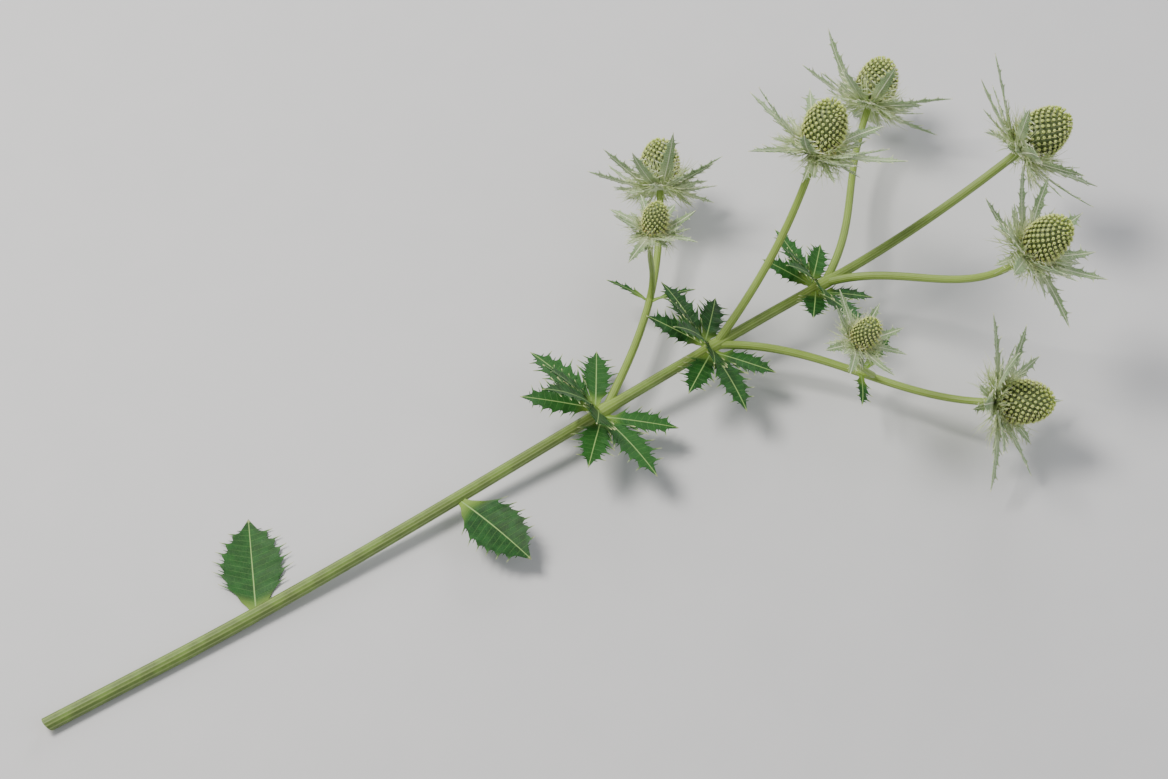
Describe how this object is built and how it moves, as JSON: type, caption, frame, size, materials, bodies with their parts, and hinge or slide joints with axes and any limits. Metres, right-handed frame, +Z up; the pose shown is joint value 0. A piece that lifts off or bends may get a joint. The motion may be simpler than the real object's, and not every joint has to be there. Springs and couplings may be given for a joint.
{
  "type": "sea holly stem",
  "caption": "Cut sea holly stem lying on its side: branching stem, cones of tiny florets in spiny bract collars, and toothed lobed leaves.",
  "frame": {"origin": "on the surface that the stem lies on, under the middle of the whole plant's bounding box", "axes": "+X along the stem from its cut end to its flower heads, +Z up from the surface, +Y to the left of someone looking from the cut end to the heads"},
  "size_m": [0.6313, 0.2917, 0.141],
  "materials": {
    "stem": "satin",
    "florets": "matte",
    "bracts": "matte",
    "leaves": "satin"
  },
  "bodies": {
    "root": {"stem": "stem", "cone_1": "florets", "cone_2": "florets", "cone_3": "florets", "cone_4": "florets", "cone_5": "florets", "cone_6": "florets", "cone_7": "florets", "cone_8": "florets", "bracts_1": "bracts", "bracts_2": "bracts", "bracts_3": "bracts", "bracts_4": "bracts", "bracts_5": "bracts", "bracts_6": "bracts", "bracts_7": "bracts", "bracts_8": "bracts", "stem_leaf_1": "leaves", "stem_leaf_2": "leaves", "whorl_b_leaf_1": "leaves", "whorl_b_leaf_2": "leaves", "whorl_b_leaf_3": "leaves", "whorl_c_leaf_1": "leaves", "whorl_c_leaf_2": "leaves", "whorl_c_leaf_3": "leaves", "whorl_d_leaf_1": "leaves", "whorl_d_leaf_2": "leaves", "whorl_d_leaf_3": "leaves", "fork_2_leaf_1": "leaves", "fork_2_leaf_2": "leaves", "fork_3_leaf_1": "leaves", "fork_3_leaf_2": "leaves"}
  },
  "joints": []
}
